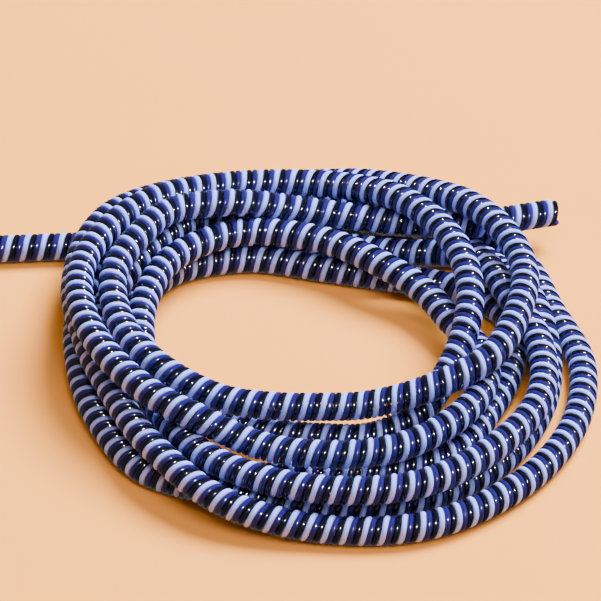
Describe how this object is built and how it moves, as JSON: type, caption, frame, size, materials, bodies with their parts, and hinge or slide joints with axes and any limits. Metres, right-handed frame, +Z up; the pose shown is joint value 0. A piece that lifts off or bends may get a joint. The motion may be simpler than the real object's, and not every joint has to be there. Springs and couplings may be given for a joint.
{
  "type": "spiral cable wrap",
  "caption": "Hollow flexible sleeve of round plastic strands wound side by side in a spiral, lying in a loose coil with both ends free.",
  "frame": {"origin": "centre of the footprint, on the surface that the coil lies on", "axes": "+Z up from the surface, +X from the left free end towards the right free end, -Y towards the viewer of the picture"},
  "size_m": [0.0952, 0.0836, 0.0134],
  "materials": {
    "blue_strand": "glossy royal blue plastic strand",
    "black_strand": "glossy black plastic strand",
    "pale_strand": "soft satin pale lavender plastic strand"
  },
  "bodies": {
    "root": {"wound_strands": "blue_strand"}
  },
  "joints": []
}
